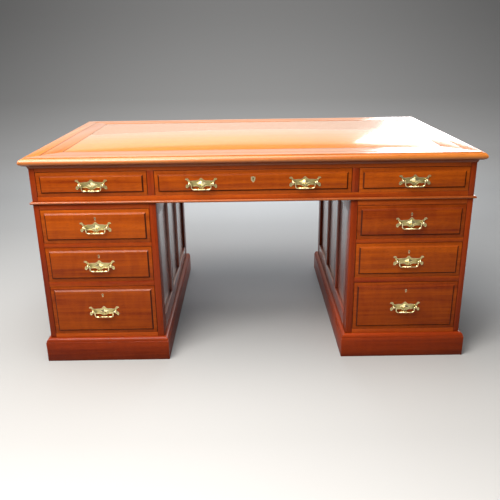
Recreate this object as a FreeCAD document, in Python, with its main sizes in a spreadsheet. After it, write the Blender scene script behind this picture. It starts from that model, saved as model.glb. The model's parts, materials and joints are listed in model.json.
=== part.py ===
import FreeCAD, Part

# A mahogany twin-pedestal writing desk: a moulded top over a frieze with three drawers, standing
# on two pedestals with three drawers each.
# The origin is on the floor at the middle of the desk. +X is to the right, the drawers face -Y and
# +Z is up. Every size is in millimetres.

import math
import os

import Sketcher

doc = FreeCAD.newDocument("writing_desk")

# ---------------------------------------------------------------------------------------------
# Driving dimensions
# ---------------------------------------------------------------------------------------------

SIZES = {
    # the whole desk
    "overall_height": 780,
    "carcass_width": 1548,
    "carcass_depth": 916,
    "pedestal_width": 430,
    "pedestal_height": 614,
    "top_thickness": 25,
    "top_overhang": 26,
    # the top's border and inner band, its moulded edge and the mouldings under it
    "border_width": 60,
    "band_width": 63,
    "edge_moulding_width": 15,
    "edge_step": 2,
    "edge_drop": 13,
    "edge_undercut": 8,
    "bed_depth": 13,
    "bed_projection": 16,
    "bead_depth": 9,
    "bead_projection": 8.5,
    "plinth_height": 92,
    "plinth_face": 77,
    "plinth_projection": 16.5,
    "fillet": 2,
    # posts, rails and panels
    "frame_thickness": 20,
    "inner_frame_thickness": 24,
    "post_depth": 60,
    "front_rail_depth": 45,
    "tenon_length": 12,
    "muntin_width": 44,
    "side_top_rail": 60,
    "sill_height": 150,
    "panel_thickness": 8,
    "panel_recess": 10,
    "panel_tongue": 6,
    # heights of the drawer openings
    "frieze_low": 640.7,
    "frieze_high": 728.6,
    "upper_low": 468.3,
    "upper_high": 593.5,
    "middle_low": 320,
    "middle_high": 452,
    "lower_low": 108.5,
    "lower_high": 299,
    # inside the carcass
    "runner_width": 20,
    "runner_depth": 16,
    "frieze_runner_width": 40,
    "screw_inset": 150,
    "outer_screw_inset": 30,
    "dustboard_thickness": 8,
    "cover_thickness": 12,
    "stop_thickness": 5,
    "stop_width": 20,
    "stop_length": 40,
    "screw_radius": 2.2,
    "screw_head_radius": 4.2,
    "screw_head_depth": 3,
    "screw_bite": 14,
    # drawers
    "drawer_gap": 1.5,
    "ride_gap": 0.4,
    "front_thickness": 22,
    "front_margin": 12,
    "bevel_width": 5,
    "field_rise": 5,
    "drawer_depth": 560,
    "drawer_board": 11,
    "side_drop": 3,
    "back_drop": 10,
    "tail_depth": 16,
    "tail_root": 13,
    "tail_flare": 3,
    "tail_spacing": 30,
    "bottom_thickness": 7,
    "bottom_rise": 9,
    "groove_depth": 5,
    # locks and keyholes
    "keyhole_drop": 12.5,
    "keyhole_radius": 2.3,
    "keyhole_slot": 2.4,
    "keyhole_slot_length": 8,
    "lining_wall": 0.9,
    "lock_width": 58,
    "lock_height": 46,
    "lock_thickness": 10,
    "shield_width": 15,
    "shield_height": 22,
    "shield_thickness": 1.2,
    # handles
    "handle_drop": 2,
    "centre_handle_offset": 180,
    "plate_width": 110,
    "plate_thickness": 1.6,
    "lozenge_width": 34,
    "lozenge_height": 18,
    "lozenge_rise": 3.6,
    "boss_radius": 3.4,
    "post_spacing": 83,
    "post_reach": 9.5,
    "ball_radius": 4.7,
    "bolt_radius": 2.2,
    "nut_radius": 4.5,
    "nut_thickness": 3.5,
    "pivot_radius": 1.5,
    "pivot_clearance": 0.06,
    "pivot_length": 4.4,
    "bail_shoulder_gap": 0.1,
    "bail_radius": 2.3,
    "bail_drop": 20.5,
    "bail_elbow": 3.2,
    "bail_corner": 9,
    "grip_radius": 3.5,
    "grip_length": 22,
}

sheet = doc.addObject("Spreadsheet::Sheet", "Dimensions")
for row, (alias, amount) in enumerate(SIZES.items(), start=1):
    sheet.set(f"A{row}", alias)
    sheet.set(f"B{row}", str(amount))
    sheet.setAlias(f"B{row}", alias)
doc.recompute()


class Size:
    """A length that also carries the sheet expression it is worked out from."""

    def __init__(self, value, rule):
        self.value = float(value)
        self.rule = rule

    def __add__(self, other):
        other = as_size(other)
        return Size(self.value + other.value, f"({self.rule} + {other.rule})")

    def __sub__(self, other):
        other = as_size(other)
        return Size(self.value - other.value, f"({self.rule} - {other.rule})")

    def __mul__(self, other):
        other = as_size(other)
        return Size(self.value * other.value, f"({self.rule} * {other.rule})")

    def __truediv__(self, other):
        other = as_size(other)
        return Size(self.value / other.value, f"({self.rule} / {other.rule})")

    def __neg__(self):
        return self * -1

    __radd__ = __add__
    __rmul__ = __mul__


def as_size(amount):
    """A plain number as a Size; a Size as it is."""
    if isinstance(amount, Size):
        return amount
    return Size(amount, f"({amount})")


class Dimensions:
    """The sheet's cells as attributes, each a Size."""

    def __getattr__(self, alias):
        return Size(sheet.get(alias), f"Dimensions.{alias}")


dim = Dimensions()
ZERO = as_size(0)


def bind(item, path, length):
    """Ties one property of an object to the sheet."""
    item.setExpression(path, as_size(length).rule)


def place(item, x=ZERO, y=ZERO, z=ZERO, turn=0):
    """Puts an object at a point worked out from the sheet, turned about the vertical by turn degrees."""
    item.Placement = FreeCAD.Placement(FreeCAD.Vector(), FreeCAD.Rotation(FreeCAD.Vector(0, 0, 1), turn))
    for axis, amount in (("x", x), ("y", y), ("z", z)):
        bind(item, f"Placement.Base.{axis}", amount)


# ---------------------------------------------------------------------------------------------
# Ways of making a piece
# ---------------------------------------------------------------------------------------------

nodes = []


def node(label, members):
    """One named sub-part, made of one solid or of a group of separate solids."""
    group = doc.addObject("Part::Compound", f"{label}_node")
    group.Links = members
    group.Label = label
    nodes.append(group)


def board(name, xs, ys, zs):
    """A plain board between two planes along each axis."""
    box = doc.addObject("Part::Box", name)
    for path, corner, (low, high) in zip(("Length", "Width", "Height"), "xyz", (xs, ys, zs)):
        bind(box, path, as_size(high) - low)
        bind(box, f"Placement.Base.{corner}", low)
    return box


def rod(name, radius, length, x, y, z, toward):
    """A round bar that starts at a point and runs toward a direction."""
    bar = doc.addObject("Part::Cylinder", name)
    bind(bar, "Radius", radius)
    bind(bar, "Height", length)
    bar.Placement = FreeCAD.Placement(
        FreeCAD.Vector(), FreeCAD.Rotation(FreeCAD.Vector(0, 0, 1), FreeCAD.Vector(*toward))
    )
    for axis, amount in (("x", x), ("y", y), ("z", z)):
        bind(bar, f"Placement.Base.{axis}", amount)
    return bar


def joined(name, pieces):
    """Several overlapping pieces as one solid."""
    fuse = doc.addObject("Part::MultiFuse", name)
    fuse.Shapes = pieces
    return fuse


def group_of(name, pieces):
    """Several pieces kept apart in one shape, to cut with."""
    group = doc.addObject("Part::Compound", name)
    group.Links = pieces
    return group


def cut(name, base, *tools):
    """A piece with the room for others taken out of it, one tool after another."""
    result = base
    for count, tool in enumerate(tools):
        step = doc.addObject("Part::Cut", f"{name}_{count}" if count else name)
        step.Base = result
        step.Tool = tool
        result = step
    return result


def tenoned(name, xs, ys, zs, axis):
    """A rail along an axis, with a tenon a third of its thickness at each end."""
    spans = [list(xs), list(ys), list(zs)]
    body = board(f"{name}_rail", *spans)
    across = [k for k in range(3) if k != axis]
    for k in across:
        low, high = spans[k]
        third = (high - low) / 3
        spans[k] = [low + third, high - third]
    low, high = spans[axis]
    spans[axis] = [low - dim.tenon_length, high + dim.tenon_length]
    return joined(name, [body, board(f"{name}_tenon", *spans)])


def body_plane(body, role):
    """One of a body's own origin planes."""
    return next(item for item in body.Origin.OriginFeatures if item.Role == role)


def sketch_on(body, role, name, lift=None):
    """An empty sketch on one of the body's planes, lifted off it along its normal if asked."""
    sketch = body.newObject("Sketcher::SketchObject", name)
    sketch.AttachmentSupport = [(body_plane(body, role), "")]
    sketch.MapMode = "FlatFace"
    if lift is not None:
        bind(sketch, "AttachmentOffset.Base.z", lift)
    return sketch


def arc_through(start, end, radius):
    """The shorter arc between two points; a positive radius bulges to the right of the way."""
    dx, dy = end[0] - start[0], end[1] - start[1]
    chord = math.hypot(dx, dy)
    rise = abs(radius) - math.sqrt(max(radius * radius - chord * chord / 4, 0))
    side = math.copysign(rise / chord, -radius)
    middle = ((start[0] + end[0]) / 2 - dy * side, (start[1] + end[1]) / 2 + dx * side)
    return Part.Arc(*(FreeCAD.Vector(u, v, 0) for u, v in (start, middle, end)))


def outline(sketch, corners, closed=True):
    """Draws a chain of straight runs and arcs, with each corner tied to the sheet.

    A corner is (u, v), or (u, v, radius) where the run that leaves it is an arc. Going round
    anticlockwise, a positive radius swells outward and a negative one hollows inward.
    """
    corners = [tuple(as_size(amount) for amount in corner) for corner in corners]
    ends = corners[1:] + corners[:1]
    if not closed:
        ends = corners[1:]
    for start, end in zip(corners, ends):
        p, q = [(corner[0].value, corner[1].value) for corner in (start, end)]
        if len(start) == 3:
            edge = arc_through(p, q, start[2].value)
        else:
            edge = Part.LineSegment(FreeCAD.Vector(*p, 0), FreeCAD.Vector(*q, 0))
        here = sketch.addGeometry(edge, False)
        # an arc that runs clockwise is stored the other way round, so its ends change places
        flipped = len(start) == 3 and start[2].value < 0
        first, last = (2, 1) if flipped else (1, 2)
        pin(sketch, here, first, start)
        if not closed and end is corners[-1]:
            pin(sketch, here, last, end)
        if len(start) == 3:
            size = start[2] if start[2].value > 0 else -start[2]
            made = sketch.addConstraint(Sketcher.Constraint("Radius", here, size.value))
            sketch.setExpression(f"Constraints[{made}]", size.rule)
        if here:
            sketch.addConstraint(Sketcher.Constraint("Coincident", here - 1, previous, here, first))
        else:
            opening = first
        previous = last
    if closed:
        sketch.addConstraint(Sketcher.Constraint("Coincident", here, previous, 0, opening))


def pin(sketch, edge, end, corner):
    """Holds one end of an edge at a point worked out from the sheet."""
    for kind, amount in (("DistanceX", corner[0]), ("DistanceY", corner[1])):
        made = sketch.addConstraint(Sketcher.Constraint(kind, -1, 1, edge, end, amount.value))
        sketch.setExpression(f"Constraints[{made}]", amount.rule)


def ring(sketch, u, v, radius):
    """Draws a circle tied to the sheet."""
    u, v, radius = as_size(u), as_size(v), as_size(radius)
    middle = FreeCAD.Vector(u.value, v.value, 0)
    here = sketch.addGeometry(Part.Circle(middle, FreeCAD.Vector(0, 0, 1), 1), False)
    pin(sketch, here, 3, (u, v))
    made = sketch.addConstraint(Sketcher.Constraint("Radius", here, radius.value))
    sketch.setExpression(f"Constraints[{made}]", radius.rule)


def rectangle(sketch, us, vs):
    """Draws an upright rectangle between two values each way."""
    outline(sketch, [(us[0], vs[0]), (us[1], vs[0]), (us[1], vs[1]), (us[0], vs[1])])


def new_body(name):
    """An empty part-design body."""
    return doc.addObject("PartDesign::Body", name)


def pad(body, sketch, length, name, middle=False):
    """Thickens a sketch along its normal, or to both sides of its plane."""
    feature = body.newObject("PartDesign::Pad", name)
    feature.Profile = sketch
    bind(feature, "Length", length)
    feature.Midplane = middle
    return feature


def moulding_length(name, profile, inner_length, projection):
    """One length of a moulding along X: its back on Y = 0, facing -Y, mitred at both ends."""
    body = new_body(name)
    section = sketch_on(body, "YZ_Plane", f"{name}_section")
    outline(section, profile)
    pad(body, section, inner_length + projection * 2 + 2, f"{name}_pad", middle=True)
    mitres = sketch_on(body, "XY_Plane", f"{name}_mitres")
    for side in (-1, 1):
        inner = (inner_length / 2 - 1) * side
        outer = (inner_length / 2 + projection + 2) * side
        triangle(mitres, (inner, as_size(1)), (outer, -(projection + 2)), (outer, as_size(1)))
    trim = body.newObject("PartDesign::Pocket", f"{name}_trim")
    trim.Profile = mitres
    trim.Type = "ThroughAll"
    trim.Midplane = True
    return body


def triangle(sketch, *corners):
    """Draws one more closed triangle in a sketch that may hold others."""
    first = len(sketch.Geometry)
    for k in range(3):
        p, q = corners[k], corners[(k + 1) % 3]
        here = sketch.addGeometry(
            Part.LineSegment(
                FreeCAD.Vector(p[0].value, p[1].value, 0), FreeCAD.Vector(q[0].value, q[1].value, 0)
            ),
            False,
        )
        pin(sketch, here, 1, p)
        if k:
            sketch.addConstraint(Sketcher.Constraint("Coincident", here - 1, 2, here, 1))
    sketch.addConstraint(Sketcher.Constraint("Coincident", here, 2, first, 1))


def mitred_frame(label, profile, projection, width, depth, centre):
    """Four mitred lengths of one moulding round a rectangle."""
    sides = (
        ("front", width, centre, -depth / 2, 0),
        ("right", depth, centre + width / 2, ZERO, 90),
        ("back", width, centre, depth / 2, 180),
        ("left", depth, centre - width / 2, ZERO, 270),
    )
    lengths = []
    for name, inner_length, x, y, turn in sides:
        body = moulding_length(f"{label}_{name}", profile, inner_length, projection)
        place(body, x, y, ZERO, turn)
        lengths.append(body)
    return lengths


def across(side, inner, outer):
    """A span along X on the left (side -1) or the right (side 1) of the desk's middle."""
    if side > 0:
        return (as_size(inner), as_size(outer))
    return (-as_size(outer), -as_size(inner))


# ---------------------------------------------------------------------------------------------
# The planes that the pieces share
# ---------------------------------------------------------------------------------------------

FRONT = -dim.carcass_depth / 2
BACK = dim.carcass_depth / 2
OUTER = dim.carcass_width / 2
INNER = OUTER - dim.pedestal_width
TOP_LOW = dim.overall_height - dim.top_thickness
FRIEZE_LOW = dim.pedestal_height
RAIL_REAR = FRONT + dim.front_rail_depth
WALL = dim.frame_thickness
INNER_WALL = dim.inner_frame_thickness
FIELD_FACE = FRONT - dim.field_rise

LEVELS = {
    "upper": (dim.upper_low, dim.upper_high),
    "middle": (dim.middle_low, dim.middle_high),
    "lower": (dim.lower_low, dim.lower_high),
}


# ---------------------------------------------------------------------------------------------
# Screws: their room is cut out of the pieces that they hold together
# ---------------------------------------------------------------------------------------------


def screws_up(name, head_low, joint):
    """Eight wood screws pointing up, four over each pedestal, that pull two layers together."""
    made = []
    for side in (-1, 1):
        for x in (INNER + INNER_WALL + dim.runner_width / 2, OUTER - WALL - dim.outer_screw_inset):
            for y in (FRONT + dim.screw_inset, BACK - dim.screw_inset):
                count = len(made)
                reach = joint + dim.screw_bite - head_low
                parts = [
                    rod(f"{name}_{part}_{count}", radius, length, x * side, y, head_low, (0, 0, 1))
                    for part, radius, length in (
                        ("head", dim.screw_head_radius, dim.screw_head_depth),
                        ("shank", dim.screw_radius, reach),
                    )
                ]
                made.append(joined(f"{name}_{count}", parts))
    return made


top_screws = screws_up("top_screw", dim.frieze_high, TOP_LOW)
pedestal_screws = screws_up("pedestal_screw", FRIEZE_LOW - dim.cover_thickness, FRIEZE_LOW)
top_screw_room = group_of("top_screw_room", top_screws)
pedestal_screw_room = group_of("pedestal_screw_room", pedestal_screws)
node("carcass_screws", top_screws + pedestal_screws)


# ---------------------------------------------------------------------------------------------
# The top: a panel, a mitred band and a mitred border with a thumbnail edge, and a cove under it
# ---------------------------------------------------------------------------------------------

banded_width = dim.carcass_width + dim.top_overhang * 2 - dim.border_width * 2
banded_depth = dim.carcass_depth + dim.top_overhang * 2 - dim.border_width * 2
panel_width = banded_width - dim.band_width * 2
panel_depth = banded_depth - dim.band_width * 2
top_panel = board(
    "top_panel_boards",
    (-panel_width / 2, panel_width / 2),
    (-panel_depth / 2, panel_depth / 2),
    (TOP_LOW, dim.overall_height),
)
node("top_panel", [cut("top_panel_drilled", top_panel, top_screw_room)])

band_profile = [
    (ZERO, TOP_LOW),
    (ZERO, dim.overall_height),
    (-dim.band_width, dim.overall_height),
    (-dim.band_width, TOP_LOW),
]
band = mitred_frame("band", band_profile, dim.band_width, panel_width, panel_depth, ZERO)
node("top_band", [cut(f"{length.Name}_drilled", length, top_screw_room) for length in band])

edge_inner = -(dim.border_width - dim.edge_moulding_width)
edge_arris = dim.overall_height - dim.edge_step - dim.edge_drop
border_profile = [
    (ZERO, TOP_LOW),
    (ZERO, dim.overall_height),
    (edge_inner, dim.overall_height),
    (edge_inner, dim.overall_height - dim.edge_step, dim.edge_moulding_width),
    (-dim.border_width, edge_arris, dim.edge_undercut * 1.25),
    (dim.edge_undercut - dim.border_width, TOP_LOW),
]
node(
    "top_border",
    mitred_frame("border", border_profile, dim.border_width, banded_width, banded_depth, ZERO),
)

bed_low = TOP_LOW - dim.bed_depth
bed_profile = [
    (ZERO, bed_low),
    (ZERO, TOP_LOW),
    (-dim.bed_projection, TOP_LOW),
    (-dim.bed_projection, TOP_LOW - dim.fillet),
    (dim.fillet - dim.bed_projection, TOP_LOW - dim.fillet, -(dim.bed_depth - dim.fillet)),
    (-dim.fillet, bed_low + dim.fillet),
    (-dim.fillet, bed_low),
]
node(
    "bed_moulding",
    mitred_frame("bed", bed_profile, dim.bed_projection, dim.carcass_width, dim.carcass_depth, ZERO),
)


# ---------------------------------------------------------------------------------------------
# The frieze: corner posts, ends, back, front rails with dividers, runners, and a bead round it
# ---------------------------------------------------------------------------------------------

full_height = (FRIEZE_LOW, TOP_LOW)
frieze_inside = (WALL - OUTER, OUTER - WALL)
front_rail_span = (FRONT, RAIL_REAR)

dividers = [
    tenoned(
        f"divider_{name}",
        across(side, INNER, INNER + INNER_WALL),
        front_rail_span,
        (dim.frieze_low, dim.frieze_high),
        2,
    )
    for side, name in ((-1, "left"), (1, "right"))
]
rails = [
    tenoned("frieze_bottom_rail", frieze_inside, front_rail_span, (FRIEZE_LOW, dim.frieze_low), 0),
    tenoned("frieze_top_rail", frieze_inside, front_rail_span, (dim.frieze_high, TOP_LOW), 0),
]
ends = [
    tenoned(
        f"frieze_end_{name}",
        across(side, OUTER - WALL, OUTER),
        (FRONT + dim.post_depth, BACK - dim.post_depth),
        full_height,
        1,
    )
    for side, name in ((-1, "left"), (1, "right"))
]
back_board = tenoned("frieze_back_board", frieze_inside, (BACK - WALL, BACK), full_height, 0)

divider_room = group_of("divider_room", dividers)
rail_room = group_of("frieze_rail_room", rails)
end_room = group_of("frieze_end_room", ends)

corner_posts = []
for side, side_name in ((-1, "left"), (1, "right")):
    for name, span, crossing in (
        ("front", (FRONT, FRONT + dim.post_depth), rail_room),
        ("back", (BACK - dim.post_depth, BACK), back_board),
    ):
        label = f"frieze_post_{side_name}_{name}"
        post = board(label, across(side, OUTER - WALL, OUTER), span, full_height)
        corner_posts.append(cut(f"{label}_mortised", post, crossing, end_room))
node("frieze_posts", corner_posts + dividers)
node("frieze_ends", ends)
node("frieze_back", [back_board])


def stops_on(name, xs, low):
    """Two small blocks on a rail that meet the back of a closed drawer's front."""
    low_x, high_x = xs
    blocks = []
    rear_of_front = FRONT + dim.front_thickness + dim.ride_gap
    for count, share in enumerate((0.25, 0.75)):
        middle = low_x + (high_x - low_x) * share
        blocks.append(
            board(
                f"{name}_stop_{count}",
                (middle - dim.stop_length / 2, middle + dim.stop_length / 2),
                (rear_of_front, rear_of_front + dim.stop_width),
                (low, low + dim.stop_thickness),
            )
        )
    return blocks


frieze_openings = {
    "left": across(-1, INNER + INNER_WALL, OUTER - WALL),
    "centre": (-INNER, INNER),
    "right": across(1, INNER + INNER_WALL, OUTER - WALL),
}
frieze_stops = []
for name, span in frieze_openings.items():
    frieze_stops += stops_on(f"frieze_{name}", span, dim.frieze_low)
node(
    "frieze_rails",
    [cut(f"{rail.Name}_mortised", rail, divider_room) for rail in rails] + frieze_stops,
)

frieze_runners = []
inside_length = (RAIL_REAR, BACK - WALL)
for side, side_name in ((-1, "left"), (1, "right")):
    by_divider = across(side, INNER - dim.runner_width, INNER + INNER_WALL + dim.runner_width)
    by_end = across(side, OUTER - WALL - dim.frieze_runner_width, OUTER - WALL)
    for place_name, span in (("divider", by_divider), ("end", by_end)):
        label = f"frieze_{side_name}_{place_name}"
        runner = board(f"{label}_runner", span, inside_length, (FRIEZE_LOW, dim.frieze_low))
        kicker = board(f"{label}_kicker", span, inside_length, (dim.frieze_high, TOP_LOW))
        frieze_runners.append(cut(f"{label}_runner_drilled", runner, pedestal_screw_room))
        frieze_runners.append(cut(f"{label}_kicker_drilled", kicker, top_screw_room))
    frieze_runners.append(
        board(
            f"frieze_{side_name}_partition",
            across(side, INNER, INNER + INNER_WALL),
            inside_length,
            (dim.frieze_low, dim.frieze_high),
        )
    )
node("frieze_runners", frieze_runners)

bead_radius = dim.bead_depth / 2
bead_profile = [
    (ZERO, FRIEZE_LOW),
    (ZERO, FRIEZE_LOW + dim.bead_depth),
    (bead_radius - dim.bead_projection, FRIEZE_LOW + dim.bead_depth, bead_radius),
    (-dim.bead_projection, FRIEZE_LOW + bead_radius, bead_radius),
    (bead_radius - dim.bead_projection, FRIEZE_LOW),
]
node(
    "waist_bead",
    mitred_frame("bead", bead_profile, dim.bead_projection, dim.carcass_width, dim.carcass_depth, ZERO),
)


# ---------------------------------------------------------------------------------------------
# A pedestal: posts, front rails, panelled sides and back, dustboards and a moulded plinth
# ---------------------------------------------------------------------------------------------

plinth_shoulder = dim.plinth_projection - dim.fillet
plinth_profile = [
    (ZERO, ZERO),
    (ZERO, dim.plinth_height),
    (-dim.fillet * 2, dim.plinth_height, dim.plinth_height - dim.plinth_face - dim.fillet),
    (-plinth_shoulder, dim.plinth_face + dim.fillet),
    (-plinth_shoulder, dim.plinth_face),
    (-dim.plinth_projection, dim.plinth_face),
    (-dim.plinth_projection, ZERO),
]


def framed_wall(name, bays, bounds, panel_span, wall_span, axis):
    """A framed wall: two rails, the muntins between its bays, and a recessed panel in each bay.

    bounds are the ends of the wall along its axis (0 for X, 1 for Y); panel_span and wall_span
    are the panel's and the frame's thickness across it. Gives the rails, the muntins and the panels.
    """
    start, end = bounds
    bay = (end - start - dim.muntin_width * (bays - 1)) / bays
    rail_low = FRIEZE_LOW - dim.side_top_rail

    def laid(along, thick, zs):
        return (along, thick, zs) if axis == 0 else (thick, along, zs)

    panels = []
    muntins = []
    for k in range(bays):
        low = start + (bay + dim.muntin_width) * k
        spans = laid(
            (low - dim.panel_tongue, low + bay + dim.panel_tongue),
            panel_span,
            (dim.sill_height - dim.panel_tongue, rail_low + dim.panel_tongue),
        )
        panels.append(board(f"{name}_panel_{k}", *spans))
        if k:
            spans = laid((low - dim.muntin_width, low), wall_span, (dim.sill_height, rail_low))
            muntins.append(tenoned(f"{name}_muntin_{k}", *spans, 2))
    panel_room = group_of(f"{name}_panel_room", panels)
    muntin_room = group_of(f"{name}_muntin_room", muntins)
    wall_rails = []
    for rail_name, zs in (
        ("sill", (dim.plinth_height / 2, dim.sill_height)),
        ("head", (rail_low, FRIEZE_LOW)),
    ):
        rail = tenoned(f"{name}_{rail_name}", *laid(bounds, wall_span, zs), axis)
        wall_rails.append(cut(f"{name}_{rail_name}_worked", rail, panel_room, muntin_room))
    muntins = [cut(f"{muntin.Name}_grooved", muntin, panel_room) for muntin in muntins]
    return wall_rails, muntins, panels


def pedestal(side, name):
    """All the fixed pieces of one pedestal."""
    between_posts = (FRONT + dim.post_depth, BACK - dim.post_depth)
    inside = across(side, INNER + INNER_WALL, OUTER - WALL)
    recess = dim.panel_recess
    behind = dim.panel_recess + dim.panel_thickness
    walls = [
        framed_wall(
            f"{name}_inner",
            3,
            between_posts,
            across(side, INNER + recess, INNER + behind),
            across(side, INNER, INNER + INNER_WALL),
            1,
        ),
        framed_wall(
            f"{name}_outer",
            3,
            between_posts,
            across(side, OUTER - behind, OUTER - recess),
            across(side, OUTER - WALL, OUTER),
            1,
        ),
        framed_wall(f"{name}_back", 2, inside, (BACK - behind, BACK - recess), (BACK - WALL, BACK), 0),
    ]
    wall_rails = sum((wall[0] for wall in walls), [])
    muntins = sum((wall[1] for wall in walls), [])
    panels = sum((wall[2] for wall in walls), [])

    openings = list(LEVELS.values())
    rail_heights = [
        (openings[0][1], FRIEZE_LOW),
        (openings[1][1], openings[0][0]),
        (openings[2][1], openings[1][0]),
        (dim.plinth_face, openings[2][0]),
    ]
    front_rails = [
        tenoned(f"{name}_front_rail_{k}", inside, front_rail_span, zs, 0)
        for k, zs in enumerate(rail_heights)
    ]
    stops = []
    for level, (low, _) in LEVELS.items():
        stops += stops_on(f"{name}_{level}", inside, low)

    rooms = [
        group_of(f"{name}_front_rail_room", front_rails),
        group_of(f"{name}_wall_rail_room", wall_rails),
        group_of(f"{name}_panels_room", panels),
    ]
    posts = []
    for wall_name, xs in (
        ("inner", across(side, INNER, INNER + INNER_WALL)),
        ("outer", across(side, OUTER - WALL, OUTER)),
    ):
        for end_name, ys in (
            ("front", (FRONT, FRONT + dim.post_depth)),
            ("back", (BACK - dim.post_depth, BACK)),
        ):
            label = f"{name}_{wall_name}_{end_name}_post"
            posts.append(cut(f"{label}_mortised", board(label, xs, ys, (ZERO, FRIEZE_LOW)), *rooms))

    cover = board(f"{name}_cover", inside, inside_length, (FRIEZE_LOW - dim.cover_thickness, FRIEZE_LOW))
    floor_board = board(
        f"{name}_floor", inside, inside_length, (dim.plinth_face - dim.cover_thickness, dim.plinth_face)
    )
    boards = [cut(f"{name}_cover_drilled", cover, pedestal_screw_room), floor_board]
    for level, (low, _) in LEVELS.items():
        runner_zs = (low - dim.runner_depth, low)
        for wall_name, xs in (
            ("inner", across(side, INNER + INNER_WALL, INNER + INNER_WALL + dim.runner_width)),
            ("outer", across(side, OUTER - WALL - dim.runner_width, OUTER - WALL)),
        ):
            boards.append(board(f"{name}_{level}_{wall_name}_runner", xs, inside_length, runner_zs))
        if level != "lower":
            middle = low - dim.runner_depth / 2
            boards.append(
                board(
                    f"{name}_{level}_dustboard",
                    across(side, INNER + INNER_WALL + dim.runner_width, OUTER - WALL - dim.runner_width),
                    inside_length,
                    (middle - dim.dustboard_thickness / 2, middle + dim.dustboard_thickness / 2),
                )
            )

    node(f"{name}_pedestal_posts", posts)
    node(f"{name}_pedestal_front_rails", front_rails + stops)
    node(f"{name}_pedestal_side_frames", wall_rails + muntins)
    node(f"{name}_pedestal_panels", panels)
    node(f"{name}_pedestal_dustboards", boards)
    plinth = mitred_frame(
        f"{name}_plinth",
        plinth_profile,
        dim.plinth_projection,
        dim.pedestal_width,
        dim.carcass_depth,
        (INNER + OUTER) / 2 * side,
    )
    node(f"{name}_pedestal_plinth", plinth)


for side, side_name in ((-1, "left"), (1, "right")):
    pedestal(side, side_name)


# ---------------------------------------------------------------------------------------------
# Brass: keyhole linings, shield, locks, and swing handles on backplates
# ---------------------------------------------------------------------------------------------


def slope(run, rise):
    """The angle that moves in by run over a height of rise, in degrees."""
    return Size(math.degrees(math.atan2(run.value, rise.value)), f"atan({run.rule} / {rise.rule})")


def keyhole_prism(name, wall, depth, x, y, z):
    """A keyhole's outline, grown outward by wall, run into the wood from a plane."""
    barrel = rod(f"{name}_barrel", dim.keyhole_radius + wall, depth, x, y, z, (0, 1, 0))
    half = dim.keyhole_slot / 2 + wall
    slot_low = z - dim.keyhole_slot_length - wall
    slot = board(f"{name}_slot", (x - half, x + half), (y, y + depth), (slot_low, z))
    return joined(name, [barrel, slot])


def shield_body(name, x, y, z):
    """A shield-shaped plate let into the wood."""
    body = new_body(name)
    sketch = sketch_on(body, "XZ_Plane", f"{name}_outline")
    half = dim.shield_width / 2
    shoulder = dim.shield_height * 0.4
    outline(
        sketch,
        [
            (ZERO, dim.shield_height * -0.55, dim.shield_height * 0.75),
            (half, ZERO),
            (half, shoulder, -half * 0.6),
            (half * 0.45, shoulder, half),
            (half * -0.45, shoulder, -half * 0.6),
            (-half, shoulder),
            (-half, ZERO, dim.shield_height * 0.75),
        ],
    )
    pad(body, sketch, dim.shield_thickness, f"{name}_pad")
    place(body, x, y, z)
    return body


# one half of the backplate's outline as (x, z, radius) shares of the plate's width, from the point
# of the tongue at the bottom to the peak at the top
PLATE_OUTLINE = (
    (0, -0.165, 0.16),
    (0.09, -0.118, -0.12),
    (0.19, -0.088, 0.3),
    (0.33, -0.08, -0.1),
    (0.43, -0.14, 0.042),
    (0.49, -0.085, 0.05),
    (0.415, -0.035, -0.05),
    (0.415, 0.05, -0.075),
    (0.5, 0.115, 0.04),
    (0.455, 0.165, 0.05),
    (0.395, 0.115, -0.1),
    (0.29, 0.085, 0.5),
    (0.16, 0.09, -0.13),
    (0.04, 0.155, 0.045),
)


def plate_body(name, x, z):
    """A handle's backplate with a pyramid in its middle and a round boss under it."""
    body = new_body(name)
    sketch = sketch_on(body, "XZ_Plane", f"{name}_outline")
    width = dim.plate_width
    right = [(width * u, width * v, width * radius) for u, v, radius in PLATE_OUTLINE]
    peak = (ZERO, width * 0.178, width * PLATE_OUTLINE[-1][2])
    left = []
    for k in range(len(right) - 1, 0, -1):
        left.append((-right[k][0], right[k][1], right[k - 1][2]))
    outline(sketch, right + [peak] + left)
    pad(body, sketch, dim.plate_thickness, f"{name}_pad")

    lozenge = sketch_on(body, "XZ_Plane", f"{name}_lozenge", dim.plate_thickness)
    half_wide, half_high = dim.lozenge_width / 2, dim.lozenge_height / 2
    outline(lozenge, [(half_wide, ZERO), (ZERO, half_high), (-half_wide, ZERO), (ZERO, -half_high)])
    pyramid = pad(body, lozenge, dim.lozenge_rise, f"{name}_pyramid")
    bind(pyramid, "TaperAngle", -slope(half_high * 0.8, dim.lozenge_rise))

    boss = sketch_on(body, "XZ_Plane", f"{name}_boss", dim.plate_thickness)
    ring(boss, ZERO, half_high * -1.18, dim.boss_radius * 0.6)
    pad(body, boss, dim.plate_thickness, f"{name}_boss_pad")

    holes = sketch_on(body, "XZ_Plane", f"{name}_holes")
    for side in (-1, 1):
        ring(holes, dim.post_spacing / 2 * side, ZERO, dim.bolt_radius)
    drilled = body.newObject("PartDesign::Pocket", f"{name}_drilled")
    drilled.Profile = holes
    drilled.Type = "ThroughAll"
    drilled.Midplane = True
    place(body, x, FIELD_FACE, z)
    return body


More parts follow.
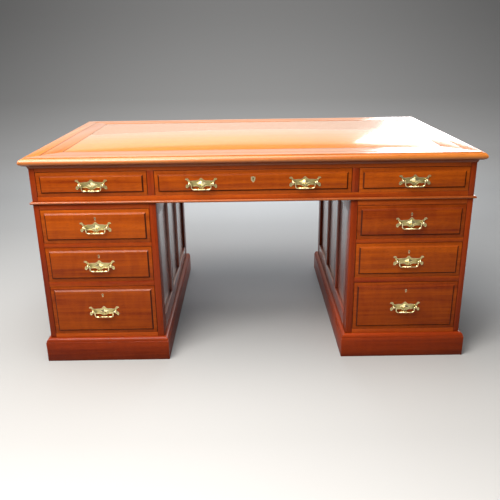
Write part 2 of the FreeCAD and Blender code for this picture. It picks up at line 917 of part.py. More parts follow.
def post_body(name, x, z):
    """A handle's post: a bolt through the drawer front, a collar, a neck and a ball, turned in one."""
    body = new_body(name)
    sketch = sketch_on(body, "XY_Plane", f"{name}_profile")
    ball = dim.ball_radius
    bolt_end = dim.front_thickness + dim.field_rise + dim.nut_thickness + 1
    outline(
        sketch,
        [
            (ZERO, -(dim.post_reach + ball), ball),
            (ball * 0.6, ball * 0.8 - dim.post_reach),
            (ball * 0.6, -dim.plate_thickness * 2),
            (ball, -dim.plate_thickness * 1.6),
            (ball, -dim.plate_thickness),
            (dim.bolt_radius, -dim.plate_thickness),
            (dim.bolt_radius, bolt_end),
            (ZERO, bolt_end),
        ],
    )
    turned = body.newObject("PartDesign::Revolution", f"{name}_turned")
    turned.Profile = sketch
    turned.ReferenceAxis = (sketch, ["V_Axis"])
    turned.Angle = 360
    place(body, x, FIELD_FACE, z)
    return body


def bail_body(name, x, z):
    """The swinging part of a handle, hanging down: two pins, bent arms and a swelling grip.

    It is drawn with the grip's middle on the body's own origin.
    """
    body = new_body(name)
    shoulder = dim.post_spacing / 2 - dim.ball_radius - dim.bail_shoulder_gap
    arm = shoulder - dim.bail_elbow
    bar_end = arm - dim.bail_corner
    right = [
        (bar_end, ZERO, dim.bail_corner),
        (arm, dim.bail_corner),
        (arm, dim.bail_drop - dim.bail_elbow, -dim.bail_elbow),
        (shoulder, dim.bail_drop),
    ]
    left = [
        (-shoulder, dim.bail_drop, -dim.bail_elbow),
        (-arm, dim.bail_drop - dim.bail_elbow),
        (-arm, dim.bail_corner, dim.bail_corner),
        (-bar_end, ZERO),
    ]
    path = sketch_on(body, "XZ_Plane", f"{name}_path")
    outline(path, left + right, closed=False)
    section = sketch_on(body, "YZ_Plane", f"{name}_section", -shoulder)
    ring(section, ZERO, dim.bail_drop, dim.bail_radius)
    bent = body.newObject("PartDesign::AdditivePipe", f"{name}_bent")
    bent.Profile = section
    bent.Spine = (path, [f"Edge{k}" for k in range(1, 8)])

    for side, side_name in ((-1, "left"), (1, "right")):
        end = sketch_on(body, "YZ_Plane", f"{name}_{side_name}_pin_end", shoulder * side)
        ring(end, ZERO, dim.bail_drop, dim.pivot_radius)
        pin_pad = pad(body, end, dim.pivot_length, f"{name}_{side_name}_pin")
        pin_pad.Reversed = side < 0

    grip = sketch_on(body, "XZ_Plane", f"{name}_grip_profile")
    half = dim.grip_length / 2
    swell = dim.grip_radius - dim.bail_radius
    outline(
        grip,
        [
            (-half, ZERO),
            (half, ZERO),
            (half, dim.bail_radius, (half * half + swell * swell) / (swell * 2)),
            (-half, dim.bail_radius),
        ],
    )
    turned = body.newObject("PartDesign::Revolution", f"{name}_grip")
    turned.Profile = grip
    turned.ReferenceAxis = (grip, ["H_Axis"])
    turned.Angle = 360
    place(body, x, FIELD_FACE - dim.post_reach, z - dim.bail_drop)
    return body


def handle(name, x, z, notch=None):
    """One handle. Gives its fixed brass and its bail."""
    plate = plate_body(f"{name}_plate", x, z)
    if notch is not None:
        plate = cut(f"{name}_plate_notched", plate, notch)
    fixed = [plate]
    for side, side_name in ((-1, "left"), (1, "right")):
        label = f"{name}_{side_name}_post"
        post_x = x + dim.post_spacing / 2 * side
        pin_hole = rod(
            f"{label}_bore",
            dim.pivot_radius + dim.pivot_clearance,
            dim.ball_radius + dim.pivot_radius,
            post_x - dim.ball_radius * side,
            FIELD_FACE - dim.post_reach,
            z,
            (side, 0, 0),
        )
        post = post_body(label, post_x, z)
        fixed.append(cut(f"{label}_bored", post, pin_hole))

        nut = doc.addObject("Part::Prism", f"{label}_nut")
        nut.Polygon = 6
        bind(nut, "Circumradius", dim.nut_radius)
        bind(nut, "Height", dim.nut_thickness)
        nut.Placement = FreeCAD.Placement(
            FreeCAD.Vector(), FreeCAD.Rotation(FreeCAD.Vector(0, 0, 1), FreeCAD.Vector(0, 1, 0))
        )
        for axis, amount in (("x", post_x), ("y", FRONT + dim.front_thickness), ("z", z)):
            bind(nut, f"Placement.Base.{axis}", amount)
        thread = rod(
            f"{label}_thread",
            dim.bolt_radius,
            dim.nut_thickness,
            post_x,
            FRONT + dim.front_thickness,
            z,
            (0, 1, 0),
        )
        fixed.append(cut(f"{label}_nut_threaded", nut, thread))
    return fixed, bail_body(f"{name}_bail_body", x, z)


# ---------------------------------------------------------------------------------------------
# Drawers: a raised front, dovetailed sides, a grooved-in bottom, a back, a lock and handles
# ---------------------------------------------------------------------------------------------


def drawer_side(name, x, low, high, near, far):
    """A drawer's side with its dovetails pointing forward into the front."""
    body = new_body(name)
    face = sketch_on(body, "YZ_Plane", f"{name}_face")
    rectangle(face, (near, far), (low, high))
    pad(body, face, dim.drawer_board, f"{name}_board")
    first = low + dim.tail_spacing / 2
    last = high - dim.tail_spacing / 2
    root = dim.tail_root / 2
    tip = root + dim.tail_flare
    tail = sketch_on(body, "YZ_Plane", f"{name}_tail_outline")
    outline(
        tail,
        [
            (near, first - root),
            (near, first + root),
            (near - dim.tail_depth, first + tip),
            (near - dim.tail_depth, first - tip),
        ],
    )
    tail_pad = pad(body, tail, dim.drawer_board, f"{name}_tail")
    tails = body.newObject("PartDesign::LinearPattern", f"{name}_tails")
    tails.Originals = [tail_pad]
    tails.Direction = (body_plane(body, "Z_Axis"), [""])
    bind(tails, "Length", last - first)
    tails.Occurrences = round((last - first).value / dim.tail_spacing.value) + 1
    body.Tip = tails
    place(body, x)
    return body


def front_body(name, xs, zs, bolts):
    """A drawer's front: a flat margin, a bevel and a raised field, drilled for the handles."""
    body = new_body(name)
    margin = sketch_on(body, "XZ_Plane", f"{name}_margin")
    rectangle(margin, xs, zs)
    pad(body, margin, dim.front_thickness, f"{name}_board")
    inset = dim.front_margin
    field = sketch_on(body, "XZ_Plane", f"{name}_field_outline", dim.front_thickness)
    rectangle(field, (xs[0] + inset, xs[1] - inset), (zs[0] + inset, zs[1] - inset))
    raised = pad(body, field, dim.field_rise, f"{name}_field")
    bind(raised, "TaperAngle", -slope(dim.bevel_width, dim.field_rise))
    holes = sketch_on(body, "XZ_Plane", f"{name}_bolt_holes")
    for x, z in bolts:
        ring(holes, x, z, dim.bolt_radius)
    drilled = body.newObject("PartDesign::Pocket", f"{name}_drilled")
    drilled.Profile = holes
    drilled.Type = "ThroughAll"
    drilled.Midplane = True
    place(body, ZERO, FRONT + dim.front_thickness)
    return body


def drawer(name, xs, zs, handles, shield=False):
    """One drawer in its opening. handles gives each handle's name and its offset from the middle."""
    left, right = xs[0] + dim.drawer_gap, xs[1] - dim.drawer_gap
    low, high = zs[0] + dim.ride_gap, zs[1] - dim.drawer_gap
    middle = (left + right) / 2
    handle_z = (zs[0] + zs[1]) / 2 - dim.handle_drop
    near = FRONT + dim.front_thickness
    far = near + dim.drawer_depth

    side_high = high - dim.side_drop
    bottom_zs = (low + dim.bottom_rise, low + dim.bottom_rise + dim.bottom_thickness)
    bottom = board(
        f"{name}_bottom",
        (left + dim.drawer_board - dim.groove_depth, right - dim.drawer_board + dim.groove_depth),
        (near - dim.groove_depth, far),
        bottom_zs,
    )
    back = board(
        f"{name}_back",
        (left + dim.drawer_board, right - dim.drawer_board),
        (far - dim.drawer_board, far),
        (bottom_zs[1], high - dim.back_drop),
    )
    sides = [
        cut(
            f"{name}_{side_name}_side_grooved",
            drawer_side(f"{name}_{side_name}_side", x, low, side_high, near, far),
            bottom,
        )
        for side_name, x in (("left", left), ("right", right - dim.drawer_board))
    ]
    node(f"{name}_box", sides + [back, bottom])

    key_z = high - dim.front_margin - dim.bevel_width - dim.keyhole_drop
    lining_depth = dim.lining_wall * 3
    lining_room = keyhole_prism(
        f"{name}_lining_room", dim.lining_wall, lining_depth, middle, FIELD_FACE, key_z
    )
    key_room = keyhole_prism(f"{name}_key_room", ZERO, dim.front_thickness, middle, FIELD_FACE, key_z)
    lining = cut(f"{name}_lining", lining_room, key_room)
    lock_near = near - dim.lock_thickness
    lock = board(
        f"{name}_lock",
        (middle - dim.lock_width / 2, middle + dim.lock_width / 2),
        (lock_near, near),
        (high - dim.lock_height, high),
    )
    brass = [cut(f"{name}_lock_case", lock, key_room), lining]
    rooms = [group_of(f"{name}_side_room", sides), bottom, lock, key_room]
    if shield:
        shield_z = key_z - dim.shield_height / 8
        plate = shield_body(f"{name}_shield", middle, FIELD_FACE + dim.shield_thickness, shield_z)
        brass.append(cut(f"{name}_shield_pierced", plate, lining_room))
        rooms.append(plate)
    rooms.append(lining_room)

    bolts = []
    for handle_name, offset in handles:
        x = middle + offset
        bolts += [(x - dim.post_spacing / 2, handle_z), (x + dim.post_spacing / 2, handle_z)]
        notch = lining_room if offset is ZERO else None
        fixed, bail = handle(handle_name, x, handle_z, notch)
        brass += fixed
        node(f"{handle_name}_bail", [bail])
    front = front_body(f"{name}_front_body", (left, right), (low, high), bolts)
    node(f"{name}_front", [cut(f"{name}_front_worked", front, *rooms)])
    node(f"{name}_fittings", brass)


frieze_zs = (dim.frieze_low, dim.frieze_high)
for side_name in ("left", "right"):
    label = f"{side_name}_frieze_drawer"
    drawer(label, frieze_openings[side_name], frieze_zs, [(label, ZERO)])
drawer(
    "centre_frieze_drawer",
    frieze_openings["centre"],
    frieze_zs,
    [
        ("centre_frieze_drawer_left", -dim.centre_handle_offset),
        ("centre_frieze_drawer_right", dim.centre_handle_offset),
    ],
    shield=True,
)
for side, side_name in ((-1, "left"), (1, "right")):
    for level, heights in LEVELS.items():
        label = f"{side_name}_{level}_drawer"
        drawer(label, across(side, INNER + INNER_WALL, OUTER - WALL), heights, [(label, ZERO)])


# ---------------------------------------------------------------------------------------------
# Check every object, then write each sub-part's file
# ---------------------------------------------------------------------------------------------

doc.recompute()
failed = [item.Name for item in doc.Objects if {"Invalid", "Error"} & set(item.State)]
if failed:
    raise RuntimeError(f"objects that did not build: {failed}")
for item in nodes:
    if item.Shape.isNull() or not item.Shape.isValid():
        raise RuntimeError(f"{item.Label} has no valid shape")

os.makedirs("parts", exist_ok=True)
for item in nodes:
    item.Shape.exportStep(f"parts/{item.Label}.step")
print(f"{len(nodes)} nodes, {sum(len(item.Shape.Solids) for item in nodes)} solids")
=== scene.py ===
import json
import math
import random

import bmesh
import bpy
from mathutils import Matrix, Vector

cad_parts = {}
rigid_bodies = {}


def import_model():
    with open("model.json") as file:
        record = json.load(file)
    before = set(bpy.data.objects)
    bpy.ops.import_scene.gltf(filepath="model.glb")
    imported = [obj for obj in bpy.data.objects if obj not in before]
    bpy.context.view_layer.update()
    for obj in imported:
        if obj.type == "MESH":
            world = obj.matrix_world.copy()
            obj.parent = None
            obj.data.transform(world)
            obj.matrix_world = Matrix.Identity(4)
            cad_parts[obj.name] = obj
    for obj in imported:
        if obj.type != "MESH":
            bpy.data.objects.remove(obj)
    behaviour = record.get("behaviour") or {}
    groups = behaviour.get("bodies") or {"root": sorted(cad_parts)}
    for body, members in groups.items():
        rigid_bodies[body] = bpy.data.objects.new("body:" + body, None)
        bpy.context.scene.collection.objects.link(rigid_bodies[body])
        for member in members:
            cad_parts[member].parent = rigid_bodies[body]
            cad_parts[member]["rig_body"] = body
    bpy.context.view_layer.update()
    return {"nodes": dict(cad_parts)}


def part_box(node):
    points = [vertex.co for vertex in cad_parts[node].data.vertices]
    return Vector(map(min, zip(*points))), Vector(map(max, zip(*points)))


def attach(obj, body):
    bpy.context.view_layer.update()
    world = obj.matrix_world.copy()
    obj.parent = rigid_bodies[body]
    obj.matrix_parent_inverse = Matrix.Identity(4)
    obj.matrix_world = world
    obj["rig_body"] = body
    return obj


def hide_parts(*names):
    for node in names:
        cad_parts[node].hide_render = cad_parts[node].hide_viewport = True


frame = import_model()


# --- Pedestal posts ----------------------------------------------------------------------------
# Eight upright posts of solid mahogany hold the pedestals together, each grooved for its panels
# and mortised for its rails. Their arrises are just eased with a plane, and the whole carcass is
# French polished: many thin coats of shellac over stained wood.

MM = 0.001
SAME_PLANE = math.radians(0.5)


def loose_boards(node):
    """A CAD node's separate solids, each with its triangles joined up into one closed bmesh.

    The triangles come solid by solid, so a solid ends where every edge so far has met its other
    face. Boards that only touch stay apart in this way.
    """
    mesh = frame["nodes"][node].data
    boards, rings, unmet = [], [], set()
    for triangle in mesh.polygons:
        ring = [tuple(round(part, 6) for part in mesh.vertices[k].co) for k in triangle.vertices]
        rings.append(ring)
        for start, end in zip(ring, ring[1:] + ring[:1]):
            if (end, start) in unmet:
                unmet.remove((end, start))
            elif start != end:
                unmet.add((start, end))
        if unmet:
            continue
        board = bmesh.new()
        corners = {corner: board.verts.new(corner) for corner in dict.fromkeys(sum(rings, []))}
        for ring in rings:
            if len(set(ring)) == 3:
                board.faces.new([corners[corner] for corner in ring])
        rings = []
        bmesh.ops.dissolve_limit(
            board, angle_limit=SAME_PLANE, verts=board.verts, edges=board.edges
        )
        board.normal_update()
        boards.append(board)
    boards.sort(key=lambda board: [round(part, 4) for end in bounds(board) for part in end])
    return boards


def bounds(board):
    """A board's lowest and highest corners."""
    return [[pick(vert.co[k] for vert in board.verts) for k in range(3)] for pick in (min, max)]


LONG_EDGE = 12 * MM
ARRIS_ANGLE = math.radians(40)


def ease_arrises(board, ease):
    """Rounds a board's long outer corners a little, as a plane and sandpaper leave them."""
    corners = [
        edge
        for edge in board.edges
        if edge.is_manifold
        and edge.calc_length() > LONG_EDGE
        and edge.calc_face_angle_signed(0) > ARRIS_ANGLE
    ]
    low, high = bounds(board)
    bmesh.ops.bevel(
        board, geom=corners, offset=ease, offset_type="OFFSET", segments=2, profile=0.5,
        affect="EDGES", clamp_overlap=True,
    )
    for vert in board.verts:
        vert.co = [min(max(vert.co[k], low[k]), high[k]) for k in range(3)]


def extents(board):
    """How far a board reaches along each axis."""
    low, high = bounds(board)
    return [high[k] - low[k] for k in range(3)]


def placed(name, data):
    """A new object that stands in the scene."""
    thing = bpy.data.objects.new(name, data)
    bpy.context.scene.collection.objects.link(thing)
    return thing


CRISP_ANGLE = math.radians(32)
LOG_REACH = 4.0
LEVEL_FACE = 0.9999
SLOPING_FACE = 0.95
UPWARD_SLOPE = 0.3
UPWARD_SHADE_SHARE = 0.3


def joinery(node, material, ease=0.7 * MM, along=None):
    """Replaces a CAD node by its boards with eased arrises, each with its own run of grain.

    The grain attribute is the object's own coordinates turned so that X follows the board's grain,
    and started at a different place in the log for each board. tone makes a board lighter or
    darker. A face attribute marks the facets that slope, for painted shade on them, less where they
    face up. Faces square to an axis are shaded flat and the rest smooth.
    """
    luck = random.Random(node)
    verts, faces, grain, tone, painted_bevel_shade, flat = [], [], [], [], [], []
    for board in loose_boards(node):
        reach = extents(board)
        axis = reach.index(max(reach)) if along is None else along
        shift = Vector([luck.uniform(-LOG_REACH, LOG_REACH) for _ in range(3)])
        shade = luck.uniform(-1, 1)
        if ease:
            ease_arrises(board, ease)
            board.normal_update()
        board.verts.ensure_lookup_table()
        board.verts.index_update()
        first = len(verts)
        for vert in board.verts:
            verts.append(vert.co.copy())
            turned = Vector((vert.co[axis], vert.co[(axis + 1) % 3], vert.co[(axis + 2) % 3]))
            grain.extend(turned + shift)
            tone.append(shade)
        faces += [[vert.index + first for vert in face.verts] for face in board.faces]
        for face in board.faces:
            levelness = max(abs(part) for part in face.normal)
            flat.append(levelness > LEVEL_FACE)
            # Sloping facets are marked for painted shade, less where they face up.
            shade_share = UPWARD_SHADE_SHARE if face.normal.z > UPWARD_SLOPE else 1.0
            painted_bevel_shade.append(shade_share if levelness < SLOPING_FACE else 0.0)
        board.free()
    mesh = bpy.data.meshes.new(f"{node}_wood")
    mesh.from_pydata(verts, [], faces)
    mesh.attributes.new("grain", "FLOAT_VECTOR", "POINT").data.foreach_set("vector", grain)
    mesh.attributes.new("tone", "FLOAT", "POINT").data.foreach_set("value", tone)
    mesh.attributes.new("painted_bevel_shade", "FLOAT", "FACE").data.foreach_set("value", painted_bevel_shade)
    mesh.shade_smooth()
    mesh.polygons.foreach_set("use_smooth", [not level for level in flat])
    mesh.set_sharp_from_angle(angle=CRISP_ANGLE)
    mesh.materials.append(material)
    piece = placed(f"{node}_wood", mesh)
    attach(piece, frame["nodes"][node]["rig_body"])
    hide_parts(node)


def group_tree(name, inputs, outputs):
    """A new shader node group with named sockets. Gives the tree and its two end nodes."""
    tree = bpy.data.node_groups.new(name, "ShaderNodeTree")
    for label, kind, value in inputs:
        socket = tree.interface.new_socket(label, in_out="INPUT", socket_type=f"NodeSocket{kind}")
        if value is not None:
            socket.default_value = value
    for label, kind in outputs:
        tree.interface.new_socket(label, in_out="OUTPUT", socket_type=f"NodeSocket{kind}")
    return tree, tree.nodes.new("NodeGroupInput"), tree.nodes.new("NodeGroupOutput")


def wire(tree, source, target):
    """Joins an output to an input, or sets the input to a plain value."""
    if isinstance(source, bpy.types.NodeSocket):
        tree.links.new(source, target)
    else:
        target.default_value = source


def maths(tree, kind, *values, clamp=False):
    """One step of arithmetic in a node tree."""
    step = tree.nodes.new("ShaderNodeMath")
    step.operation = kind
    step.use_clamp = clamp
    for socket, value in zip(step.inputs, values):
        wire(tree, value, socket)
    return step.outputs[0]


def stretched_noise(tree, vector, stretch, detail, roughness=0.55, distortion=0.0):
    """Noise whose cells are 1 / stretch long along each axis."""
    scaled = tree.nodes.new("ShaderNodeVectorMath")
    scaled.operation = "MULTIPLY"
    wire(tree, vector, scaled.inputs[0])
    scaled.inputs[1].default_value = stretch
    noise = tree.nodes.new("ShaderNodeTexNoise")
    wire(tree, scaled.outputs[0], noise.inputs["Vector"])
    noise.inputs["Scale"].default_value = 1
    noise.inputs["Detail"].default_value = detail
    noise.inputs["Roughness"].default_value = roughness
    noise.inputs["Distortion"].default_value = distortion
    return noise.outputs["Fac"]


def rescale(tree, value, low, high, to_low=0.0, to_high=1.0):
    """Maps a stretch of values onto another, held at both ends."""
    step = tree.nodes.new("ShaderNodeMapRange")
    wire(tree, value, step.inputs["Value"])
    ends = (("From Min", low), ("From Max", high), ("To Min", to_low), ("To Max", to_high))
    for socket, amount in ends:
        wire(tree, amount, step.inputs[socket])
    return step.outputs[0]


def blend_colours(tree, amount, first, second):
    """Mixes two colours."""
    mix = tree.nodes.new("ShaderNodeMix")
    mix.data_type = "RGBA"
    for socket, value in ((mix.inputs[0], amount), (mix.inputs[6], first), (mix.inputs[7], second)):
        wire(tree, value, socket)
    return mix.outputs[2]


def attribute(tree, name):
    """Reads one of the mesh's own attributes."""
    node = tree.nodes.new("ShaderNodeAttribute")
    node.attribute_name = name
    return node


def own_place(tree):
    """Where a point is in its object's own coordinates."""
    return tree.nodes.new("ShaderNodeTexCoord").outputs["Object"]


def relief(tree, height, strength, distance):
    """The normal of a surface with small heights and hollows."""
    bump = tree.nodes.new("ShaderNodeBump")
    bump.inputs["Strength"].default_value = strength
    bump.inputs["Distance"].default_value = distance
    wire(tree, height, bump.inputs["Height"])
    return bump.outputs[0]


def figured_wood():
    """The figure of mahogany: growth bands, ribbon, cross-grain mottle, fibres and open pores."""
    tree, given, result = group_tree(
        "Mahogany figure",
        [
            ("Grain", "Vector", None),
            ("Tone", "Float", 0.0),
            ("Light", "Color", (0.6, 0.25, 0.08, 1)),
            ("Dark", "Color", (0.3, 0.08, 0.03, 1)),
            ("Pore", "Color", (0.05, 0.015, 0.01, 1)),
            ("Mottle", "Float", 0.3),
        ],
        [("Color", "Color"), ("Roughness", "Float"), ("Height", "Float")],
    )
    grain = given.outputs["Grain"]
    bands = stretched_noise(tree, grain, (1.1, 26, 26), 4, 0.6, 0.6)
    ribbon = stretched_noise(tree, grain, (3.5, 110, 110), 3, 0.5)
    mottle = stretched_noise(tree, grain, (26, 9, 9), 2, 0.5, 1.2)
    fibre = stretched_noise(tree, grain, (14, 700, 700), 2)
    pores = stretched_noise(tree, grain, (70, 1500, 1500), 1)

    pale = maths(tree, "MULTIPLY_ADD", bands, 1.5, -0.3)
    for noise, weight in ((ribbon, 0.75), (mottle, given.outputs["Mottle"]), (fibre, 0.45)):
        pale = maths(tree, "MULTIPLY_ADD", maths(tree, "SUBTRACT", noise, 0.5), weight, pale)
    pale = maths(tree, "MULTIPLY_ADD", given.outputs["Tone"], 0.18, pale, clamp=True)
    colour = blend_colours(tree, pale, given.outputs["Dark"], given.outputs["Light"])
    open_pores = rescale(tree, pores, 0.6, 0.72, 0, 0.6)
    colour = blend_colours(tree, open_pores, colour, given.outputs["Pore"])
    wire(tree, colour, result.inputs["Color"])
    wire(tree, rescale(tree, bands, 0.3, 0.7, 0.3, 0.42), result.inputs["Roughness"])
    height = maths(tree, "SUBTRACT", maths(tree, "MULTIPLY", fibre, 0.35), open_pores)
    wire(tree, height, result.inputs["Height"])
    return tree


def wear_and_shade_masks():
    """Masks for wear and painted shade: edges rubbed by hands and cloths, and sheltered corners and
    gaps, found by ambient occlusion, for painted shade.
    """
    tree, given, result = group_tree(
        "Wear and painted shade",
        [("Reach", "Float", 0.002), ("Corner reach", "Float", 0.012)],
        [("Edge", "Float"), ("Corner", "Float")],
    )
    surface = tree.nodes.new("ShaderNodeNewGeometry")
    rounded = tree.nodes.new("ShaderNodeBevel")
    rounded.samples = 4
    wire(tree, given.outputs["Reach"], rounded.inputs["Radius"])
    facing = tree.nodes.new("ShaderNodeVectorMath")
    facing.operation = "DOT_PRODUCT"
    wire(tree, rounded.outputs[0], facing.inputs[0])
    wire(tree, surface.outputs["Normal"], facing.inputs[1])
    patches = tree.nodes.new("ShaderNodeTexNoise")
    wire(tree, own_place(tree), patches.inputs["Vector"])
    patches.inputs["Scale"].default_value = 22
    patches.inputs["Detail"].default_value = 3
    edge = rescale(tree, facing.outputs["Value"], 0.995, 0.86)
    worn = rescale(tree, patches.outputs["Fac"], 0.35, 0.7, 0.25, 1)
    wire(tree, maths(tree, "MULTIPLY", edge, worn), result.inputs["Edge"])
    # Ambient occlusion finds sheltered corners and gaps, which the materials darken as painted
    # shade.
    shelter = tree.nodes.new("ShaderNodeAmbientOcclusion")
    shelter.samples = 6
    wire(tree, given.outputs["Corner reach"], shelter.inputs["Distance"])
    corner = rescale(tree, shelter.outputs["AO"], 0.75, 0.25)
    wire(tree, corner, result.inputs["Corner"])
    return tree


MAHOGANY_FIGURE = figured_wood()
WEAR_AND_SHADE_MASKS = wear_and_shade_masks()


def placed_group(tree, group, **values):
    """A node group placed in a material, with its own values or links."""
    node = tree.nodes.new("ShaderNodeGroup")
    node.node_tree = group
    for label, value in values.items():
        wire(tree, value, node.inputs[label.replace("_", " ")])
    return node


def new_finish(name):
    """A new material. Gives it with its node tree and its shader."""
    material = bpy.data.materials.new(name)
    material.use_nodes = True
    return material, material.node_tree, material.node_tree.nodes["Principled BSDF"]


RED_BLACK_PORE = (0.05, 0.008, 0.003, 1)
# Dark brown, for the painted shade on sloping facets.
BEVEL_SHADE_COLOUR = (0.03, 0.006, 0.003, 1)
GLUE_LINE = (0.08, 0.02, 0.008, 1)
# Near black, for the painted shade in corners and gaps.
PAINTED_CORNER_SHADE = (0.02, 0.004, 0.002, 1)
LINE_CORE, LINE_EDGE = 1.2 * MM, 3.2 * MM


def polished_wood(
    name, light, dark, mottle=0.3, gloss=0.6, haze=0.1, pore=RED_BLACK_PORE, rough=0.0,
    bevel_shade_depth=0.0, joints=(), specular=0.25,
):
    """A wood with its own colours under shellac. gloss is the polish's weight, haze its roughness.

    bevel_shade_depth is how dark the painted shade lies on sloping facets, and joints are the half
    sizes of the rectangles along which a dark glue line shows. Corners and gaps are darkened as
    painted shade.
    """
    material, tree, shader = new_finish(name)
    grain = attribute(tree, "grain").outputs["Vector"]
    figure = placed_group(
        tree, MAHOGANY_FIGURE,
        Grain=grain, Tone=attribute(tree, "tone").outputs["Fac"],
        Light=light, Dark=dark, Pore=pore, Mottle=mottle,
    )
    wear_and_shade = placed_group(tree, WEAR_AND_SHADE_MASKS)
    colour = figure.outputs["Color"]
    polish = gloss
    # Sloping facets are darkened as painted shade, less where they face up.
    if bevel_shade_depth:
        shaded_bevels = maths(tree, "MULTIPLY", attribute(tree, "painted_bevel_shade").outputs["Fac"], bevel_shade_depth)
        colour = blend_colours(tree, shaded_bevels, colour, BEVEL_SHADE_COLOUR)
    if joints:
        split = tree.nodes.new("ShaderNodeSeparateXYZ")
        wire(tree, own_place(tree), split.inputs[0])
        for half_x, half_y in joints:
            beyond = [
                maths(tree, "SUBTRACT", maths(tree, "ABSOLUTE", split.outputs[axis]), half)
                for axis, half in (("X", half_x), ("Y", half_y))
            ]
            off = maths(tree, "ABSOLUTE", maths(tree, "MAXIMUM", *beyond))
            line = rescale(tree, off, LINE_CORE, LINE_EDGE, 0.9, 0)
            colour = blend_colours(tree, line, colour, GLUE_LINE)
            polish = maths(tree, "MULTIPLY", maths(tree, "MULTIPLY_ADD", line, -0.8, 1), polish)
    # Corners and gaps are darkened as painted shade.
    corner_shade = maths(tree, "MULTIPLY", wear_and_shade.outputs["Corner"], 0.62)
    colour = blend_colours(tree, corner_shade, colour, PAINTED_CORNER_SHADE)
    rubbed_wood = tuple(min(1, part * 1.2 + 0.01) for part in light[:3]) + (1,)
    rubbed = maths(tree, "MULTIPLY", wear_and_shade.outputs["Edge"], 0.4)
    colour = blend_colours(tree, rubbed, colour, rubbed_wood)
    wire(tree, colour, shader.inputs["Base Color"])
    dull = maths(tree, "MULTIPLY_ADD", wear_and_shade.outputs["Corner"], 0.25, figure.outputs["Roughness"])
    wire(tree, maths(tree, "ADD", dull, rough), shader.inputs["Roughness"])
    wire(tree, relief(tree, figure.outputs["Height"], 0.35, 0.25 * MM), shader.inputs["Normal"])
    waves = stretched_noise(tree, grain, (2.5, 9, 9), 2, 0.4)
    wire(tree, relief(tree, waves, 0.5, 1.6 * MM), shader.inputs["Coat Normal"])
    shader.inputs["Specular IOR Level"].default_value = specular
    wire(tree, polish, shader.inputs["Coat Weight"])
    shader.inputs["Coat Roughness"].default_value = haze
    shader.inputs["Coat IOR"].default_value = 1.52
    return material


# Its sloping facets are darkened as painted shade.
POST_RED = polished_wood(
    "post_mahogany", (0.4, 0.055, 0.006, 1), (0.17, 0.016, 0.003, 1), mottle=0.15, gloss=0.15,
    bevel_shade_depth=0.5, specular=0.06,
)
SIDES = ("left", "right")
for side in SIDES:
    joinery(f"{side}_pedestal_posts", POST_RED)


# --- Pedestal rails and side frames ------------------------------------------------------------
# Front rails tenoned between the posts, with the small blocks that stop each drawer, and the
# rails and muntins of the panelled inner, outer and back walls. Straight-grained mahogany.

SIDE_RED = polished_wood(
    "side_mahogany", (0.4, 0.055, 0.006, 1), (0.17, 0.016, 0.003, 1), mottle=0.15, gloss=1,
    haze=0.16,
)
# Its sloping facets are darkened as painted shade.
RAIL_ORANGE = polished_wood(
    "rail_mahogany", (0.56, 0.1, 0.006, 1), (0.24, 0.022, 0.003, 1), mottle=0.3, gloss=0.12,
    bevel_shade_depth=0.5, specular=0.1,
)
for side in SIDES:
    joinery(f"{side}_pedestal_front_rails", RAIL_ORANGE)
    joinery(f"{side}_pedestal_side_frames", SIDE_RED)


# --- Pedestal panels ---------------------------------------------------------------------------
# Flat mahogany panels held loose in grooves, so that they can shrink and swell. Their grain runs
# upright, with the broad mottle of flat-sawn boards.

PANEL_BROWN = polished_wood(
    "panel_mahogany", (0.42, 0.08, 0.012, 1), (0.19, 0.025, 0.005, 1), mottle=0.45, gloss=1,
    haze=0.16,
)
for side in SIDES:
    joinery(f"{side}_pedestal_panels", PANEL_BROWN, ease=0, along=2)


# --- Dustboards, runners and covers ------------------------------------------------------------
# Hidden carcass work of bare planed pine: the runners that the drawers slide on, the thin boards
# between the drawers, and the boards that close each pedestal above and below.

BARE_PINE = polished_wood(
    "carcass_pine", (0.62, 0.42, 0.22, 1), (0.4, 0.22, 0.1, 1), mottle=0.2, gloss=0, haze=0.4,
    pore=(0.25, 0.12, 0.05, 1), rough=0.3,
)
for side in SIDES:
    joinery(f"{side}_pedestal_dustboards", BARE_PINE, along=1)


# --- Plinths -----------------------------------------------------------------------------------
# A skirting of four mitred boards round the foot of each pedestal, with an ovolo run along the
# top edge. Dark red mahogany, a little scuffed by feet and brooms.

PLINTH_RED = polished_wood(
    "plinth_mahogany", (0.4, 0.05, 0.005, 1), (0.18, 0.018, 0.003, 1), mottle=0.3, gloss=0.16,
    specular=0.06,
)
for side in SIDES:
    joinery(f"{side}_pedestal_plinth", PLINTH_RED, ease=0.5 * MM)


# --- Frieze carcass ----------------------------------------------------------------------------
# The box under the top: corner posts and drawer dividers, long front rails, end boards and a back
# board, all mahogany, with pine runners, kickers and partitions inside.

joinery("frieze_posts", POST_RED)
joinery("frieze_rails", RAIL_ORANGE)
joinery("frieze_ends", PANEL_BROWN)
joinery("frieze_back", PANEL_BROWN)
joinery("frieze_runners", BARE_PINE, along=1)


# --- Mouldings ---------------------------------------------------------------------------------
# A half-round bead round the foot of the frieze, where it sits on the pedestals, and a cove under
# the top. Run in long lengths of straight mahogany, mitred and glued on.

MOULDING_ORANGE = polished_wood(
    "moulding_mahogany", (0.48, 0.11, 0.012, 1), (0.24, 0.04, 0.005, 1), mottle=0.15, gloss=0.4
)
joinery("waist_bead", MOULDING_ORANGE, ease=0)
joinery("bed_moulding", MOULDING_ORANGE, ease=0.3 * MM)


# --- Top ---------------------------------------------------------------------------------------
# A wide flat panel of well-figured boards inside a mitred border, whose edge is run with a
# thumbnail moulding below a small step. It has the thickest and best polish of the whole desk.

